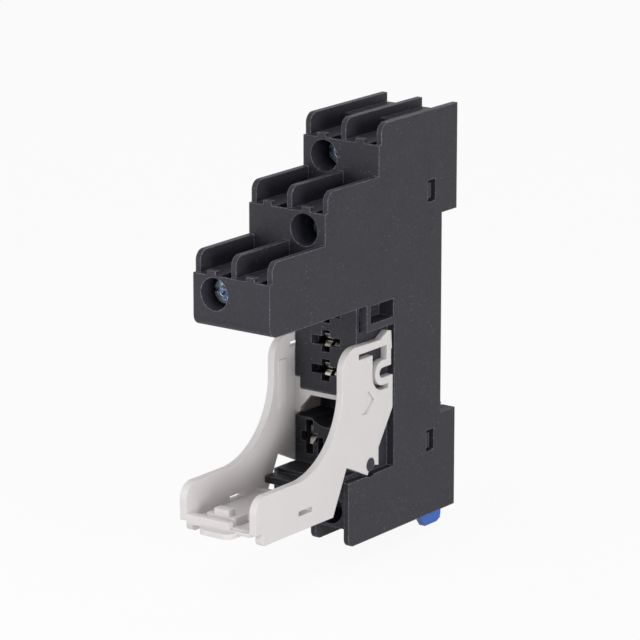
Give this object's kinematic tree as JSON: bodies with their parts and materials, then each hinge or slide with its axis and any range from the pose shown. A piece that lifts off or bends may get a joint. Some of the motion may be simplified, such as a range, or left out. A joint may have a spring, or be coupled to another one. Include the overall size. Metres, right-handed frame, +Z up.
{
  "type": "relay socket",
  "caption": "Narrow rail-mounted relay socket with stepped screw terminals, a plug block for flat pins, a hinged retaining and ejecting clip, and a sliding rail clip.",
  "frame": {"origin": "middle of the rail seat: the point on the recess's flat floor half way between its edges, in the middle of the width", "axes": "+X across the width to the right seen from the front, +Y backwards into the rail, -Y towards the user, +Z up along the body"},
  "size_m": [0.0156, 0.0591, 0.0747],
  "materials": {
    "black_moulding": "fine matt moulding",
    "cover_moulding": "fine matt moulding",
    "blue_moulding": "satin moulding",
    "light_moulding": "satin moulding",
    "zinc_steel": "bright zinc with a blue tint",
    "cage_steel": "zinc plated",
    "strip_brass": "stamped strip",
    "fork_metal": "tinned spring metal"
  },
  "bodies": {
    "base": {"housing": "black_moulding", "rear_cover": "cover_moulding", "strip_upper": "strip_brass", "strip_middle": "strip_brass", "strip_lower": "strip_brass", "strip_coil_left": "strip_brass", "strip_coil_right": "strip_brass", "fork_upper": "fork_metal", "fork_middle": "fork_metal", "fork_lower": "fork_metal", "fork_coil_left": "fork_metal", "fork_coil_right": "fork_metal"},
    "latch": {"retaining_clip": "light_moulding"},
    "foot": {"rail_clip": "blue_moulding"},
    "turn_upper": {"screw_upper": "zinc_steel"},
    "lift_upper": {"cage_upper": "cage_steel"},
    "turn_middle": {"screw_middle": "zinc_steel"},
    "lift_middle": {"cage_middle": "cage_steel"},
    "turn_lower": {"screw_lower": "zinc_steel"},
    "lift_lower": {"cage_lower": "cage_steel"},
    "turn_coil_left": {"screw_coil_left": "zinc_steel"},
    "lift_coil_left": {"cage_coil_left": "cage_steel"},
    "turn_coil_right": {"screw_coil_right": "zinc_steel"},
    "lift_coil_right": {"cage_coil_right": "cage_steel"}
  },
  "joints": [
    {"name": "clip_hinge", "type": "hinge", "parent": "base", "child": "latch", "pos_m": [0, -0.02065, -0.02205], "axis": [1, 0, 0], "range_deg": [0, 24]},
    {"name": "rail_clip_slide", "type": "slide", "parent": "base", "child": "foot", "axis": [0, 0, -1], "range_m": [0, 0.0025], "stiffness_N_per_m": 2500, "springref_m": -0.0005},
    {"name": "screw_turn_upper", "type": "hinge", "parent": "base", "child": "turn_upper", "pos_m": [-0.0035, -0.0143, 0.02935], "axis": [0, 1, 0], "range_deg": [0, 1296]},
    {"name": "cage_lift_upper", "type": "slide", "parent": "base", "child": "lift_upper", "axis": [0, -1, 0], "range_m": [0, 0.0018]},
    {"name": "screw_turn_middle", "type": "hinge", "parent": "base", "child": "turn_middle", "pos_m": [0.0035, -0.0284, 0.0205], "axis": [0, 1, 0], "range_deg": [0, 1296]},
    {"name": "cage_lift_middle", "type": "slide", "parent": "base", "child": "lift_middle", "axis": [0, -1, 0], "range_m": [0, 0.0018]},
    {"name": "screw_turn_lower", "type": "hinge", "parent": "base", "child": "turn_lower", "pos_m": [-0.0035, -0.0459, 0.01165], "axis": [0, 1, 0], "range_deg": [0, 1296]},
    {"name": "cage_lift_lower", "type": "slide", "parent": "base", "child": "lift_lower", "axis": [0, -1, 0], "range_m": [0, 0.0018]},
    {"name": "screw_turn_coil_left", "type": "hinge", "parent": "base", "child": "turn_coil_left", "pos_m": [-0.0035, -0.02176, -0.029], "axis": [0, 1, 0], "range_deg": [0, 1296]},
    {"name": "cage_lift_coil_left", "type": "slide", "parent": "base", "child": "lift_coil_left", "axis": [0, -1, 0], "range_m": [0, 0.0018]},
    {"name": "screw_turn_coil_right", "type": "hinge", "parent": "base", "child": "turn_coil_right", "pos_m": [0.0035, -0.02176, -0.029], "axis": [0, 1, 0], "range_deg": [0, 1296]},
    {"name": "cage_lift_coil_right", "type": "slide", "parent": "base", "child": "lift_coil_right", "axis": [0, -1, 0], "range_m": [0, 0.0018]}
  ],
  "couplings": [
    {"joint": "screw_turn_upper", "follows": "cage_lift_upper", "rad_per_m": 12566},
    {"joint": "screw_turn_middle", "follows": "cage_lift_middle", "rad_per_m": 12566},
    {"joint": "screw_turn_lower", "follows": "cage_lift_lower", "rad_per_m": 12566},
    {"joint": "screw_turn_coil_left", "follows": "cage_lift_coil_left", "rad_per_m": 12566},
    {"joint": "screw_turn_coil_right", "follows": "cage_lift_coil_right", "rad_per_m": 12566}
  ]
}
